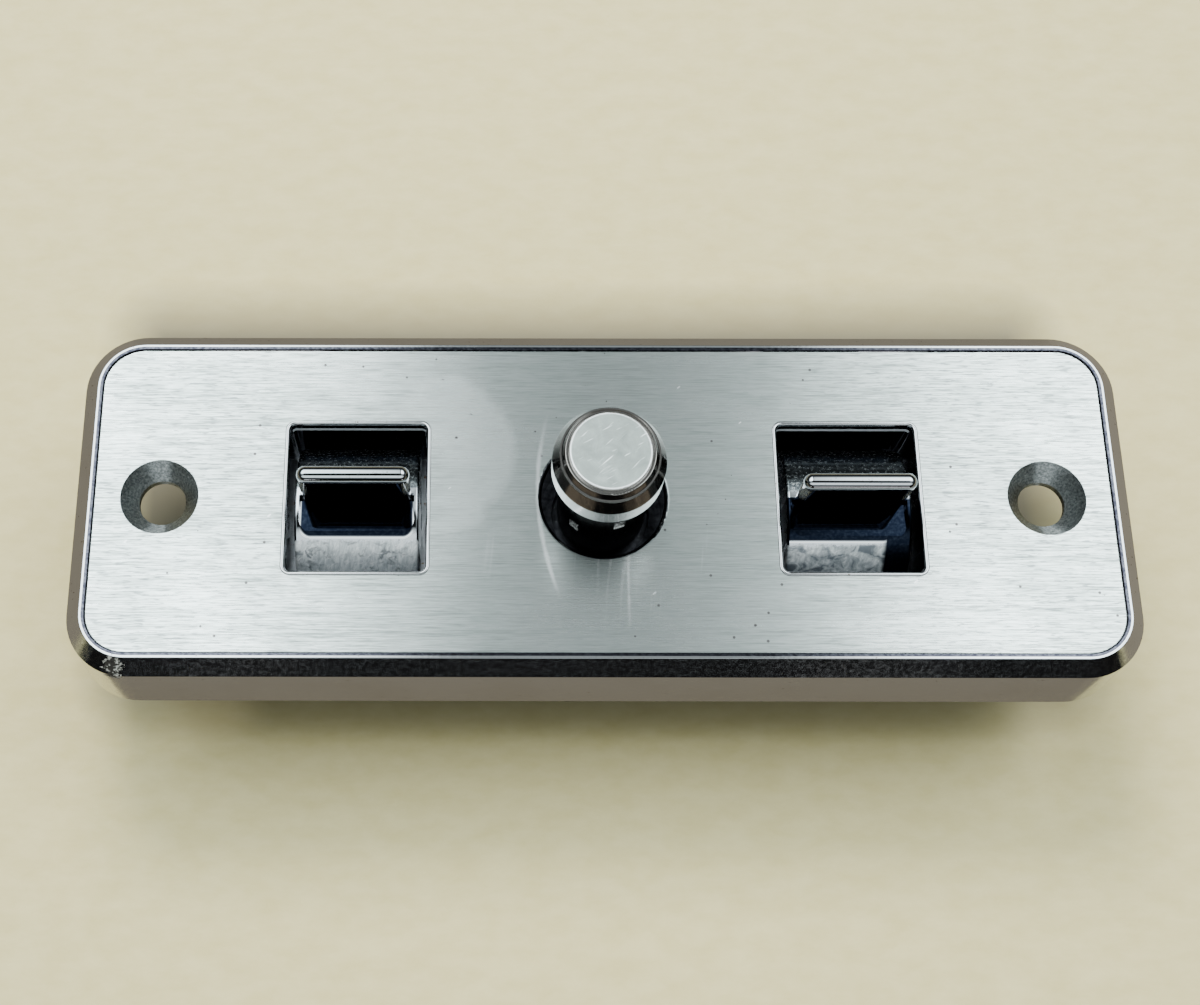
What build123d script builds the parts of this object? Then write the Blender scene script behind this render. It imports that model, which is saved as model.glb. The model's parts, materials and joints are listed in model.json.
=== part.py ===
from build123d import *
import math
import os

# Control plate for a car console or door: a chromed die-cast bezel that carries two spring-centred
# rocker switches and a cigar lighter. Millimetres. Origin on the seat plane under the two mounting
# screws, midway between them. +X runs along the plate, +Y to its far long edge, +Z out of the face.

# ---------------------------------------------------------------- plate
FACE_Z = 4.6              # brushed face above the screw seats
PLATE_H = 16.0            # face down to the rim
PLATE_L = 181.8           # at the foot of the bevel
PLATE_W = 62.4
PLATE_CORNER = 10.6
BEVEL = 2.6
BEAD_W = 1.1              # raised line round the face
BEAD_H = 0.35
DRAFT = 3.0               # degrees, side walls
WALL = 2.2
TOP_T = 2.4
RIM_Z = FACE_Z - PLATE_H

SCREW_X = 76.2            # mounting screws, either side of the middle (six inches apart)
SCREW_R = 4.05
SINK_R = 6.75
SINK_DEPTH = 3.3
FUNNEL_R = 8.6

# ---------------------------------------------------------------- rocker switches
SWITCH_X = 42.3           # window centres, either side of the middle
WINDOW_L = 23.8           # along X
WINDOW_W = 26.7           # along Y
WINDOW_CORNER = 1.0
LIP_W = 0.8
COLLAR_T = 1.8

DRUM_R = WINDOW_W / 2 - 0.45
DRUM_L = WINDOW_L - 2.5
DRUM_T = 1.8
AXIS_Z = FACE_Z - DRUM_R  # the drum's crown is level with the face
DRUM_CUT = 0.8            # the drum stops this far above its axis
CHEEK_T = 1.6
HUB_R = 2.9
PIN_R = 1.5
FIT = 0.05                # radial clearance of moving round fits

FIN_L = WINDOW_L - 4.9
FIN_TOP = FACE_Z + 10.5
FIN_BAR_R = 1.5           # bead round the fin's top and sides
FIN_BASE_T = 2.1
FIN_BEAD_FOOT = FACE_Z + 2.6  # the side beads taper out here
FLAT_DEPTH = 1.5          # flat in front of the fin, below the drum's crown
FLAT_REACH = 6.4
FLAT_MARGIN = 0.45        # the flat is this much longer than the fin at each end

THROW = 11.0              # degrees each way from upright
LEFT_LEAN = -1.5          # the rockers rest slightly off upright
RIGHT_LEAN = 1.5

FOOT_Y = DRUM_R - DRUM_T - 3.6  # rocker feet, pushers and springs sit this far from the axis
FOOT_R = 1.25
FOOT_Z = 1.6              # foot centre above the axis
PUSH_GAP = 0.3

CASE_TOP = RIM_Z
CASE_T = 1.2
CASE_L = WINDOW_L + 1.2
CASE_W = WINDOW_W + 2.3
CASE_BOTTOM = -29.4
FLANGE_W = 12.0
EAR_X = DRUM_L / 2 - CHEEK_T - 1.65
EAR_T = 1.2
EAR_W = 6.6

SCREW_SPREAD = WINDOW_L / 2 + 5.6  # switch screws from the window centre
SCREW_SHANK_R = 1.5
SCREW_HEAD_R = 3.2
SCREW_HEAD_H = 2.2
SCREW_LEN = 9.0
BOSS_R = 3.5
FLANGE_L = 2 * (SCREW_SPREAD + BOSS_R)

PUSH_HEAD_R = 2.6
PUSH_HEAD_H = 1.3
PUSH_STEM_R = 1.7
PUSH_TIP_Z = -18.1

ARM_Z = -18.9
ARM_T = 1.0
ARM_W = 5.2
ARM_PIN_R = 0.8
ARM_HUB_R = 1.7
CONTACT_Y = CASE_W / 2 - 3.7
ARM_L = 2 * CONTACT_Y + 2.8
CONTACT_R = 1.2
CONTACT_H = 0.8
FIXED_CONTACT_Z = -22.95

BASE_TOP = -26.5
BASE_T = 2.6
BLADE_W = 6.3
BLADE_T = 0.8
BLADE_TIP = -37.2

SPRING_R = 1.65
SPRING_WIRE = 0.25
SPRING_TURNS = 5

# ---------------------------------------------------------------- lighter
WELL_R = 10.6
NECK_R = WELL_R + 1.8
NECK_Z = -4.0
SHELL_R = WELL_R - 1.2
SHELL_T = 0.8
SHELL_BOTTOM = -28.0
LEDGE_Z = -8.0
CLAMP_R = NECK_R + 1.4

PLUG_GAP = 0.9            # round the plug's sleeve, inside the socket
SLEEVE_R = SHELL_R - SHELL_T - PLUG_GAP
SLEEVE_T = 0.7
SLEEVE_TOP = 19.0
SLEEVE_FOOT = -7.2
LEDGE_R = SLEEVE_R + 0.25
COLLAR_R = SHELL_R - SHELL_T - 0.2
VENT_W = 1.9
VENT_H = 3.4
VENT_LOW = FACE_Z + 1.6
VENT_HIGH = FACE_Z + 6.3

KNOB_BORE_R = SLEEVE_R + 0.5
KNOB_R = KNOB_BORE_R + 1.15
KNOB_SKIRT_Z = FACE_Z + 13.4
KNOB_RING_Z = FACE_Z + 17.2
KNOB_SHOULDER_Z = FACE_Z + 20.8
KNOB_TOP_R = KNOB_R - 2.0
KNOB_ROOF = 24.4
DISC_R = KNOB_TOP_R - 0.6
DISC_T = 0.7
DISC_TOP = FACE_Z + 21.4
KNOB_PUSH = 5.0

ROD_R = 1.5
ELEMENT_R = SLEEVE_R - 2.5
ELEMENT_TOP = -8.6
ELEMENT_H = 5.6
STUD_R = 2.0
STUD_TIP = -35.6


def cyl(r, z0, z1, x=0.0, y=0.0):
    return Pos(x, y, (z0 + z1) / 2) * Cylinder(r, z1 - z0)


def ring(r_out, r_in, z0, z1, x=0.0, y=0.0):
    return cyl(r_out, z0, z1, x, y) - cyl(r_in, z0 - 1, z1 + 1, x, y)


def cone(r_low, r_high, z0, z1, x=0.0, y=0.0):
    return Pos(x, y, (z0 + z1) / 2) * Cone(r_low, r_high, z1 - z0)


def block(x0, x1, y0, y1, z0, z1):
    centre = Pos((x0 + x1) / 2, (y0 + y1) / 2, (z0 + z1) / 2)
    return centre * Box(x1 - x0, y1 - y0, z1 - z0)


def rod_x(r, x0, x1, y, z):
    return Pos((x0 + x1) / 2, y, z) * Rot(0, 90, 0) * Cylinder(r, x1 - x0)


def slab(length, width, corner, z0, z1, x=0.0, taper=0.0):
    outline = Pos(x, 0, z0) * RectangleRounded(length, width, corner)
    return extrude(outline, z1 - z0, taper=taper)


def coil(r, wire, turns, z0, z1, x=0.0, y=0.0):
    # helix with its end turns just inside the two seats
    height = z1 - z0 - 2 * wire
    path = Helix(pitch=height / turns, height=height, radius=r)
    section = Plane(origin=path @ 0, z_dir=path % 0) * Circle(wire)
    return Pos(x, y, z0 + wire) * sweep(section, path=path)


def turned(profile_points):
    # body of revolution about Z from (radius, height) points
    outline = make_face(Plane.XZ * Polyline(profile_points, close=True))
    return revolve(outline, Axis.Z)


def edges_at(solid, z):
    return [e for e in solid.edges() if abs(e.bounding_box().min.Z - z) < 1e-3
            and abs(e.bounding_box().max.Z - z) < 1e-3]


def export(solid, name, colour):
    solid.label = name
    solid.color = Color(*colour)
    export_step(solid, "parts/" + name + ".step")


# ================================================================= bezel
def bezel():
    top_z = FACE_Z + BEAD_H
    foot_z = top_z - BEVEL
    spread = 2 * (foot_z - RIM_Z) * math.tan(math.radians(DRAFT))
    corner = PLATE_CORNER + spread / 2
    body = slab(PLATE_L + spread, PLATE_W + spread, corner, RIM_Z, foot_z, taper=DRAFT)
    body += slab(PLATE_L, PLATE_W, PLATE_CORNER, foot_z, top_z, taper=45)
    face_l = PLATE_L - 2 * BEVEL - 2 * BEAD_W
    face_w = PLATE_W - 2 * BEVEL - 2 * BEAD_W
    body -= slab(face_l, face_w, PLATE_CORNER - BEVEL - BEAD_W, FACE_Z, top_z + 1, taper=-35)
    body = fillet(edges_at(body, top_z), 0.16)

    inner = spread - 2 * WALL
    cavity_top = FACE_Z - TOP_T
    body -= slab(PLATE_L + inner, PLATE_W + inner, corner - WALL, RIM_Z, cavity_top, taper=DRAFT)

    for side in (-1, 1):
        x = side * SWITCH_X
        lip = slab(WINDOW_L + 2 * LIP_W, WINDOW_W + 2 * LIP_W, WINDOW_CORNER + LIP_W,
                   FACE_Z - 0.5, FACE_Z + 0.3, x)
        body += fillet(edges_at(lip, FACE_Z + 0.3), 0.25)
        body += slab(WINDOW_L + 2 * COLLAR_T, WINDOW_W + 2 * COLLAR_T, WINDOW_CORNER + COLLAR_T,
                     CASE_TOP, cavity_top + 0.5, x)
        for end in (-1, 1):
            body += cyl(BOSS_R, CASE_TOP, cavity_top + 0.5, x + end * SCREW_SPREAD)

    body += cyl(NECK_R, NECK_Z, cavity_top + 0.5)
    for side in (-1, 1):
        body += cyl(FUNNEL_R, 0, cavity_top + 0.5, side * SCREW_X)

    for side in (-1, 1):
        x = side * SWITCH_X
        body -= slab(WINDOW_L, WINDOW_W, WINDOW_CORNER, CASE_TOP - 1, FACE_Z + 2, x)
        for end in (-1, 1):
            hole_top = CASE_TOP - CASE_T + SCREW_LEN + 0.6
            body -= cyl(SCREW_SHANK_R + FIT, CASE_TOP - 1, hole_top, x + end * SCREW_SPREAD)
        body -= cyl(SCREW_R, -1, FACE_Z + 1, side * SCREW_X)
        body -= cone(SCREW_R, SINK_R, FACE_Z - SINK_DEPTH, FACE_Z, side * SCREW_X)
    body -= cyl(WELL_R, NECK_Z - 1, FACE_Z + 1)
    well_edge = [e for e in edges_at(body, FACE_Z) if e.geom_type == GeomType.CIRCLE
                 and abs(e.radius - WELL_R) < 1e-3]
    body = fillet(well_edge, 0.8)
    window_edges = []
    for e in edges_at(body, FACE_Z + 0.3):
        middle = e @ 0.5
        inside_x = abs(abs(middle.X) - SWITCH_X) < WINDOW_L / 2 + 0.01
        if inside_x and abs(middle.Y) < WINDOW_W / 2 + 0.01:
            window_edges.append(e)
    return fillet(window_edges, 0.45)


# ================================================================= rocker switch
def side_bead(end):
    # the bead down one end of the fin: full at the top, flush with the plate at its foot
    foot_r = FIN_BASE_T / 2
    top = Pos(end * (FIN_L / 2 - FIN_BAR_R), 0, FIN_TOP - FIN_BAR_R) * Circle(FIN_BAR_R)
    foot = Pos(end * (FIN_L / 2 - foot_r), 0, FIN_BEAD_FOOT) * Circle(foot_r)
    bead = loft([foot, top])
    return bead + cyl(foot_r, AXIS_Z + DRUM_R - FLAT_DEPTH - 0.6, FIN_BEAD_FOOT, end * (FIN_L / 2 - foot_r))


def fin():
    half_t = FIN_BASE_T / 2
    inner = FIN_L / 2 - FIN_BAR_R
    low = AXIS_Z + DRUM_R - FLAT_DEPTH - 0.6
    plate = block(-inner, inner, -half_t, half_t, low, FIN_TOP - FIN_BAR_R)
    plate += rod_x(FIN_BAR_R, -inner, inner, 0, FIN_TOP - FIN_BAR_R)
    for end in (-1, 1):
        plate += Pos(end * inner, 0, FIN_TOP - FIN_BAR_R) * Sphere(FIN_BAR_R)
        plate += side_bead(end)
    return plate


def rocker(x, lean):
    half = DRUM_L / 2
    shell = rod_x(DRUM_R, -half, half, 0, AXIS_Z)
    shell -= rod_x(DRUM_R - DRUM_T, -half + CHEEK_T, half - CHEEK_T, 0, AXIS_Z)
    shell -= block(-half - 1, half + 1, -20, 20, AXIS_Z - 20, AXIS_Z + DRUM_CUT)
    rims = [e for e in shell.edges() if e.geom_type == GeomType.CIRCLE
            and abs(e.radius - DRUM_R) < 1e-3]
    shell = fillet(rims, 0.5)
    floor_z = AXIS_Z + DRUM_R - FLAT_DEPTH
    under = block(-half + 0.6, half - 0.6, -FLAT_REACH - 1.2, 2.0, floor_z - DRUM_T, floor_z + FLAT_DEPTH)
    shell += under & rod_x(DRUM_R - 0.1, -half, half, 0, AXIS_Z)
    outline = Pos(0, 0, floor_z) * RectangleRounded(FIN_L + 2 * FLAT_MARGIN, 2 * FLAT_REACH, 2.4)
    pocket = extrude(outline, 5)
    shell -= pocket & block(-half, half, -FLAT_REACH - 1, 0, floor_z - 1, floor_z + 6)
    for end in (-1, 1):
        inner = end * (half - CHEEK_T)
        outer = end * half
        shell += rod_x(HUB_R, min(inner, outer), max(inner, outer), 0, AXIS_Z)
    for y in (-FOOT_Y, FOOT_Y):
        shell += rod_x(FOOT_R, -half + 0.5, half - 0.5, y, AXIS_Z + FOOT_Z)
    shell -= rod_x(PIN_R + FIT, -half - 1, half + 1, 0, AXIS_Z)
    shell += fin()
    turn = Pos(0, 0, AXIS_Z) * Rot(lean, 0, 0) * Pos(0, 0, -AXIS_Z)
    return Pos(x, 0, 0) * turn * shell


def rocker_pin(x):
    return rod_x(PIN_R, x - DRUM_L / 2 + 0.3, x + DRUM_L / 2 - 0.3, 0, AXIS_Z)


def switch_case(x):
    half_l = CASE_L / 2
    half_w = CASE_W / 2
    under = CASE_TOP - CASE_T
    case = block(-half_l, half_l, -half_w, half_w, CASE_BOTTOM, CASE_TOP)
    case -= block(-half_l + CASE_T, half_l - CASE_T, -half_w + CASE_T, half_w - CASE_T,
                  CASE_BOTTOM - 1, under)
    corners = [e for e in case.edges().filter_by(Axis.Z) if abs(abs((e @ 0.5).X) - half_l) < 1e-3]
    case = fillet(corners, 1.0)
    flange = slab(FLANGE_L, FLANGE_W, 3.0, under, CASE_TOP)
    case += flange
    for end in (-1, 1):
        inner = end * EAR_X
        outer = end * (EAR_X + EAR_T)
        low, high = min(inner, outer), max(inner, outer)
        case += block(low, high, -EAR_W / 2, EAR_W / 2, under, AXIS_Z)
        case += rod_x(EAR_W / 2, low, high, 0, AXIS_Z)
        case -= cyl(SCREW_SHANK_R + FIT, under - 1, CASE_TOP + 1, end * SCREW_SPREAD)
    case -= rod_x(PIN_R + 0.01, -EAR_X - EAR_T - 1, EAR_X + EAR_T + 1, 0, AXIS_Z)
    for y in (-FOOT_Y, FOOT_Y):
        case -= cyl(PUSH_STEM_R + FIT, under - 1, CASE_TOP + 1, 0, y)
    return Pos(x, 0, 0) * case


def pusher(x, y, rise):
    head_top = AXIS_Z + FOOT_Z - FOOT_R - PUSH_GAP
    body = cyl(PUSH_HEAD_R, head_top - PUSH_HEAD_H, head_top)
    body += cyl(PUSH_STEM_R, PUSH_TIP_Z + PUSH_STEM_R, head_top)
    body += Pos(0, 0, PUSH_TIP_Z + PUSH_STEM_R) * Sphere(PUSH_STEM_R)
    return Pos(x, y, rise) * body


def contact_arm(x, lean):
    half = ARM_L / 2
    arm = block(-ARM_W / 2, ARM_W / 2, -half, half, ARM_Z - ARM_T / 2, ARM_Z + ARM_T / 2)
    arm += rod_x(ARM_HUB_R, -ARM_W / 2, ARM_W / 2, 0, ARM_Z)
    for y in (-CONTACT_Y, CONTACT_Y):
        arm += cyl(CONTACT_R, ARM_Z - ARM_T / 2 - CONTACT_H, ARM_Z, 0, y)
    arm -= rod_x(ARM_PIN_R + FIT, -ARM_W, ARM_W, 0, ARM_Z)
    turn = Pos(0, 0, ARM_Z) * Rot(lean, 0, 0) * Pos(0, 0, -ARM_Z)
    return Pos(x, 0, 0) * turn * arm


def arm_pin(x):
    return rod_x(ARM_PIN_R, x - 4.6, x + 4.6, 0, ARM_Z)


def terminal_base(x):
    half_l = CASE_L / 2 - CASE_T
    half_w = CASE_W / 2 - CASE_T
    base = block(-half_l, half_l, -half_w, half_w, BASE_TOP - BASE_T, BASE_TOP)
    for y in (-CONTACT_Y, 0, CONTACT_Y):
        base -= block(-BLADE_W / 2, BLADE_W / 2, y - BLADE_T / 2, y + BLADE_T / 2,
                      BASE_TOP - BASE_T - 1, BASE_TOP + 1)
    return Pos(x, 0, 0) * base


def blade(y):
    tail = block(-BLADE_W / 2, BLADE_W / 2, y - BLADE_T / 2, y + BLADE_T / 2, BLADE_TIP, BASE_TOP)
    tips = [e for e in tail.edges().filter_by(Axis.Y) if abs((e @ 0.5).Z - BLADE_TIP) < 1e-3]
    return chamfer(tips, 1.2)


def feed_terminal(x):
    top = ARM_Z + 1.9
    half_w = 2.4
    piece = blade(0)
    piece += block(-4.4, 4.4, -half_w, half_w, BASE_TOP, BASE_TOP + BLADE_T)
    for low in (-4.4, 3.6):
        piece += block(low, low + 0.8, -half_w, half_w, BASE_TOP, top)
    piece -= rod_x(ARM_PIN_R + 0.01, -6, 6, 0, ARM_Z)
    return Pos(x, 0, 0) * piece


def side_terminal(x, y):
    # blade, riser and the fixed contact on its folded top
    side = 1 if y > 0 else -1
    table = FIXED_CONTACT_Z - CONTACT_H
    riser = y + side * 1.45
    piece = blade(y)
    piece += block(-BLADE_W / 2, BLADE_W / 2, min(y - side * 0.4, riser + side * 0.4),
                   max(y - side * 0.4, riser + side * 0.4), BASE_TOP, BASE_TOP + 0.8)
    piece += block(-BLADE_W / 2, BLADE_W / 2, riser - 0.4, riser + 0.4, BASE_TOP, table)
    piece += block(-BLADE_W / 2, BLADE_W / 2, min(y - side * 1.0, riser + side * 0.4),
                   max(y - side * 1.0, riser + side * 0.4), table - 0.8, table)
    piece += cyl(CONTACT_R, table - 0.4, FIXED_CONTACT_Z, 0, y)
    return Pos(x, 0, 0) * piece


def return_spring(x, y, rise):
    top = ARM_Z - ARM_T / 2 + rise - 0.05
    return coil(SPRING_R, SPRING_WIRE, SPRING_TURNS, BASE_TOP + 0.02, top, x, y)


def switch_screws():
    screws = Part()
    for side in (-1, 1):
        for end in (-1, 1):
            x = side * SWITCH_X + end * SCREW_SPREAD
            under = CASE_TOP - CASE_T
            screw = cyl(SCREW_SHANK_R, under, under + SCREW_LEN, x)
            head = cyl(SCREW_HEAD_R, under - SCREW_HEAD_H, under, x)
            head = fillet(edges_at(head, under - SCREW_HEAD_H), 0.7)
            slot = block(x - 4, x + 4, -0.45, 0.45, under - SCREW_HEAD_H - 1, under - 1.3)
            screws += screw + (head - slot)
    return screws


def build_switch(name, x, lean, tint):
    drop = math.radians(lean) * FOOT_Y
    steel, plate, phenolic, brass, spring = tint
    export(switch_case(x), name + "_switch_case", steel)
    export(rocker(x, lean), name + "_rocker", plate)
    export(rocker_pin(x), name + "_rocker_pin", steel)
    export(pusher(x, -FOOT_Y, -drop), name + "_pusher_front", phenolic)
    export(pusher(x, FOOT_Y, drop), name + "_pusher_rear", phenolic)
    export(contact_arm(x, lean), name + "_contact_arm", brass)
    export(arm_pin(x), name + "_arm_pin", steel)
    export(return_spring(x, -FOOT_Y, -drop), name + "_spring_front", spring)
    export(return_spring(x, FOOT_Y, drop), name + "_spring_rear", spring)
    export(terminal_base(x), name + "_terminal_base", phenolic)
    export(feed_terminal(x), name + "_feed_terminal", brass)
    export(side_terminal(x, -CONTACT_Y), name + "_terminal_front", brass)
    export(side_terminal(x, CONTACT_Y), name + "_terminal_rear", brass)


# ================================================================= lighter
def knob_cap():
    cap = turned([
        (0, KNOB_ROOF), (KNOB_BORE_R, KNOB_ROOF), (KNOB_BORE_R, KNOB_SKIRT_Z),
        (KNOB_R, KNOB_SKIRT_Z), (KNOB_R, KNOB_RING_Z), (KNOB_TOP_R, KNOB_SHOULDER_Z),
        (DISC_R + 0.25, KNOB_SHOULDER_Z), (DISC_R + 0.25, DISC_TOP - DISC_T), (0, DISC_TOP - DISC_T)])
    rim = [e for e in edges_at(cap, KNOB_SHOULDER_Z) if abs(e.radius - KNOB_TOP_R) < 1e-3]
    return fillet(rim, 0.2)


def knob_disc():
    disc = cyl(DISC_R, DISC_TOP - DISC_T, DISC_TOP)
    return fillet(edges_at(disc, DISC_TOP), 0.25)


def plug_sleeve():
    sleeve = ring(SLEEVE_R, SLEEVE_R - SLEEVE_T, SLEEVE_FOOT, SLEEVE_TOP)
    sleeve += ring(COLLAR_R, SLEEVE_R - 0.2, SLEEVE_FOOT + 0.2, SLEEVE_FOOT + 1.2)
    sleeve += ring(SLEEVE_R - 0.2, ROD_R + FIT + 0.05, SLEEVE_FOOT, SLEEVE_FOOT + 0.9)
    for i in range(6):
        middle = VENT_HIGH if i % 2 else VENT_LOW
        turn = -43.0 + 60.0 * i
        cut = block(-VENT_W / 2, VENT_W / 2, -SLEEVE_R - 1, -SLEEVE_R + 2,
                    middle - VENT_H / 2, middle + VENT_H / 2)
        sleeve -= Rot(0, 0, turn) * cut
    return sleeve


def plug_core():
    # insulating core under the knob roof
    core = cyl(ELEMENT_R, KNOB_ROOF - 5.0, KNOB_ROOF) + cyl(2.9, KNOB_ROOF - 9.0, KNOB_ROOF)
    return core - cyl(ROD_R, KNOB_ROOF - 10, KNOB_ROOF + 1)


def plug_rod():
    rod = cyl(ROD_R, ELEMENT_TOP, KNOB_ROOF)
    return rod


def element_cup():
    cup = ring(ELEMENT_R, ELEMENT_R - 0.5, ELEMENT_TOP - ELEMENT_H, ELEMENT_TOP)
    cup += cyl(ELEMENT_R, ELEMENT_TOP - 0.8, ELEMENT_TOP)
    cup += cyl(0.9, ELEMENT_TOP - ELEMENT_H + 0.4, ELEMENT_TOP)
    return cup


def heating_coil():
    turns = 4.0
    steps = 60
    r0, r1 = 1.1, ELEMENT_R - 1.0
    thick = 0.25

    def spiral(offset):
        points = []
        for i in range(steps + 1):
            t = i / steps
            r = r0 + (r1 - r0) * t + offset
            a = 2 * math.pi * turns * t
            points.append((r * math.cos(a), r * math.sin(a)))
        return points

    outer = spiral(thick)
    inner = spiral(0.0)
    a = Spline(*outer)
    b = Spline(*inner)
    outline = make_face([a, Line(outer[-1], inner[-1]), b, Line(inner[0], outer[0])])
    low = ELEMENT_TOP - ELEMENT_H + 0.3
    return Pos(0, 0, low) * extrude(outline, 1.8)


def plug_spring():
    return coil(3.7, 0.4, 9, SLEEVE_FOOT + 0.95, KNOB_ROOF - 5.05)


def socket_shell():
    inner = SHELL_R - SHELL_T
    shell = ring(SHELL_R, inner, SHELL_BOTTOM, NECK_Z)
    shell += ring(NECK_R - 0.2, inner, NECK_Z - 1.0, NECK_Z)
    shell += ring(inner + 0.3, LEDGE_R, LEDGE_Z, LEDGE_Z + 1.0)
    shell += ring(inner + 0.3, STUD_R + 0.9, SHELL_BOTTOM, SHELL_BOTTOM + 1.0)
    return shell


def clamp_ring():
    top = NECK_Z + 4.6
    low = NECK_Z - 2.4
    body = ring(CLAMP_R, NECK_R, NECK_Z - 1.0, top) + ring(CLAMP_R, SHELL_R + 0.15, low, NECK_Z - 1.0)
    for i in range(12):
        body -= Rot(0, 0, 30 * i) * cyl(1.0, low - 1, top + 1, CLAMP_R + 0.45)
    return body


def inner_washer():
    low = SHELL_BOTTOM + 1.0
    spigot = ring(STUD_R + 0.88, STUD_R + 0.02, SHELL_BOTTOM, low + 0.5)
    return ring(SHELL_R - SHELL_T - 1.0, STUD_R + 0.02, low, low + 1.2) + spigot


def outer_washer():
    return ring(5.6, STUD_R + 0.02, SHELL_BOTTOM - 1.2, SHELL_BOTTOM)


def heat_clip():
    low = SHELL_BOTTOM + 2.2
    outer = ELEMENT_R + 1.1
    cup_foot = ELEMENT_TOP - ELEMENT_H
    clip = ring(outer, STUD_R + 0.02, low, low + 0.6)
    for i in range(3):
        finger = block(outer - 0.55, outer, -2.6, 2.6, low, cup_foot - 1.4)
        finger += block(outer - 0.85, outer, -2.6, 2.6, cup_foot - 3.2, cup_foot - 2.6)
        clip += Rot(0, 0, 90 + 120 * i) * finger
    return clip


def centre_stud():
    low = SHELL_BOTTOM + 2.8
    return cyl(3.6, low, low + 1.5) + cyl(STUD_R, STUD_TIP, low + 0.5)


def stud_nut():
    top = SHELL_BOTTOM - 2.0
    hexagon = Pos(0, 0, top - 2.4) * RegularPolygon(4.0, 6, major_radius=True)
    return extrude(hexagon, 2.4) - cyl(STUD_R + 0.02, top - 4, top + 1)


def stud_tag():
    # ring tag between the washer and the nut, with its blade turned down
    top = SHELL_BOTTOM - 1.2
    tag = ring(4.4, STUD_R + 0.02, top - 0.8, top)
    tag += block(-9.6, -4.0, -3.0, 3.0, top - 0.8, top) + block(-9.6, -8.8, -3.0, 3.0, -36.6, top)
    return tag - cyl(STUD_R + 0.02, top - 2, top + 1)


def ground_tag():
    tag = block(SHELL_R - 1.4, SHELL_R + 0.8, -3.15, 3.15, -34.0, -20.0)
    tag -= cyl(SHELL_R, SHELL_BOTTOM - 20, -10)
    return tag


# ================================================================= export
CHROME = (0.82, 0.83, 0.85)
STEEL = (0.62, 0.63, 0.65)
ZINC = (0.66, 0.66, 0.66)
BAKELITE = (0.16, 0.09, 0.06)
BRASS = (0.78, 0.62, 0.30)
SPRING_STEEL = (0.45, 0.46, 0.48)
BLACKENED = (0.08, 0.08, 0.10)
SATIN = (0.80, 0.80, 0.80)
CERAMIC = (0.85, 0.83, 0.78)
NICHROME = (0.40, 0.36, 0.33)

os.makedirs("parts", exist_ok=True)

export(bezel(), "bezel", CHROME)
switch_tint = (STEEL, CHROME, BAKELITE, BRASS, SPRING_STEEL)
build_switch("left", -SWITCH_X, LEFT_LEAN, switch_tint)
build_switch("right", SWITCH_X, RIGHT_LEAN, switch_tint)
export(switch_screws(), "switch_screws", ZINC)

export(knob_cap(), "knob_cap", CHROME)
export(knob_disc(), "knob_disc", SATIN)
export(plug_sleeve(), "plug_sleeve", BLACKENED)
export(plug_core(), "plug_core", BAKELITE)
export(plug_rod(), "plug_rod", STEEL)
export(element_cup(), "element_cup", STEEL)
export(heating_coil(), "heating_coil", NICHROME)
export(plug_spring(), "plug_spring", SPRING_STEEL)
export(socket_shell(), "socket_shell", STEEL)
export(clamp_ring(), "clamp_ring", ZINC)
export(inner_washer(), "inner_washer", CERAMIC)
export(outer_washer(), "outer_washer", BAKELITE)
export(heat_clip(), "heat_clip", BRASS)
export(centre_stud(), "centre_stud", STEEL)
export(stud_nut(), "stud_nut", STEEL)
export(stud_tag(), "stud_tag", BRASS)
export(ground_tag(), "ground_tag", BRASS)
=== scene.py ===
import json
import math

import bmesh
import bpy
from mathutils import Matrix, Vector


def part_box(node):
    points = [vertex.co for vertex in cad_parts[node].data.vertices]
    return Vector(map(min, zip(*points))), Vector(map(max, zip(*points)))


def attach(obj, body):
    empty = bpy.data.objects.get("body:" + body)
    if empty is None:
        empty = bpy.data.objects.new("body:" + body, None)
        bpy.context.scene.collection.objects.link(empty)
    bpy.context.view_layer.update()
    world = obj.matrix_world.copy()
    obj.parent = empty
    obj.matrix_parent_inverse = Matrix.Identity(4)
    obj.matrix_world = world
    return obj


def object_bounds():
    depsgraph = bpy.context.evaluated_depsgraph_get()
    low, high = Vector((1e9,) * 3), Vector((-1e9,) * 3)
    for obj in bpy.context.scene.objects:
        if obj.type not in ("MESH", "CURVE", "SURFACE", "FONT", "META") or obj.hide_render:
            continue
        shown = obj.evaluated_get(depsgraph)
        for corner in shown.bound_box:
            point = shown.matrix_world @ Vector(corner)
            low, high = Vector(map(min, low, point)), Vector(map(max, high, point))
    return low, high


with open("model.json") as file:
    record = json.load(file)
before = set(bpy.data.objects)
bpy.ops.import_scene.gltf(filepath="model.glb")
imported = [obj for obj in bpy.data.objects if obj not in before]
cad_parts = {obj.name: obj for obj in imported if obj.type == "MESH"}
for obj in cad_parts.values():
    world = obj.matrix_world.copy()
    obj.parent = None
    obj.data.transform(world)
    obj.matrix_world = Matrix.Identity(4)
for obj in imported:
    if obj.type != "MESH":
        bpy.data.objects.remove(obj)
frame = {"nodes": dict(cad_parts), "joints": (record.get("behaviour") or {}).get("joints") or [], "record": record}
CAD_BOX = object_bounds()
NODES = frame["nodes"]
MM = 0.001

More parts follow.
